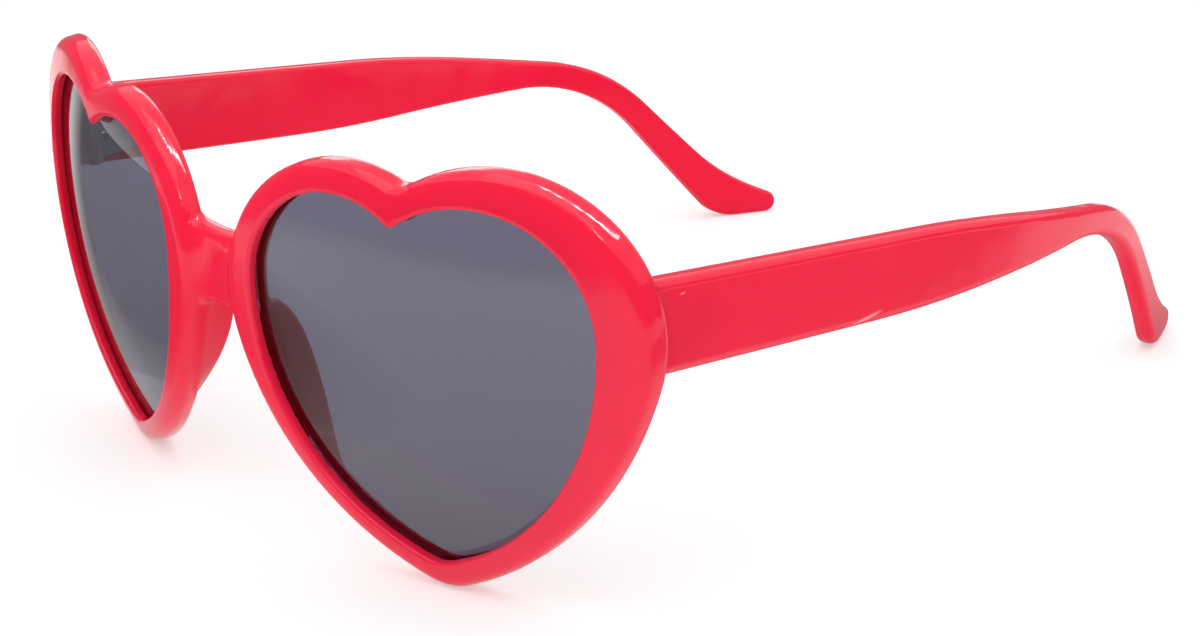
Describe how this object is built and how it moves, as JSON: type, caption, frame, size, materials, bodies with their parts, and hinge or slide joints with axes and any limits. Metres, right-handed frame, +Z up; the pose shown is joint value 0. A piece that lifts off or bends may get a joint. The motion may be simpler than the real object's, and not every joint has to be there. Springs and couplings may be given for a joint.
{
  "type": "heart shaped sunglasses",
  "caption": "Heart shaped sunglasses: a curved moulded front with smoked lenses and nose pads, and bowed temples that fold on small screw hinges.",
  "frame": {"origin": "on the table, under the middle of the bounding box of the open glasses", "axes": "+X to the wearer's left, the front faces -Y and the temples run back along +Y, +Z up"},
  "size_m": [0.1338, 0.1664, 0.0612],
  "materials": {
    "red_plastic": "polished",
    "smoked_lens": "polished",
    "hinge_steel": "satin"
  },
  "bodies": {
    "front": {"front_frame": "red_plastic", "lens_left": "smoked_lens", "lens_right": "smoked_lens", "front_hinge_leaf_left": "hinge_steel", "front_hinge_leaf_right": "hinge_steel", "hinge_screw_left": "hinge_steel", "hinge_screw_right": "hinge_steel"},
    "left_temple": {"temple_left": "red_plastic", "temple_hinge_leaf_left": "hinge_steel"},
    "right_temple": {"temple_right": "red_plastic", "temple_hinge_leaf_right": "hinge_steel"}
  },
  "joints": [
    {"name": "left_temple_fold", "type": "hinge", "parent": "front", "child": "left_temple", "pos_m": [0.0606, -0.06143, 0.04284], "axis": [0, -0.1201, 0.9928], "range_deg": [0, 90]},
    {"name": "right_temple_fold", "type": "hinge", "parent": "front", "child": "right_temple", "pos_m": [-0.0606, -0.06143, 0.04284], "axis": [0, 0.1201, -0.9928], "range_deg": [0, 84]}
  ]
}
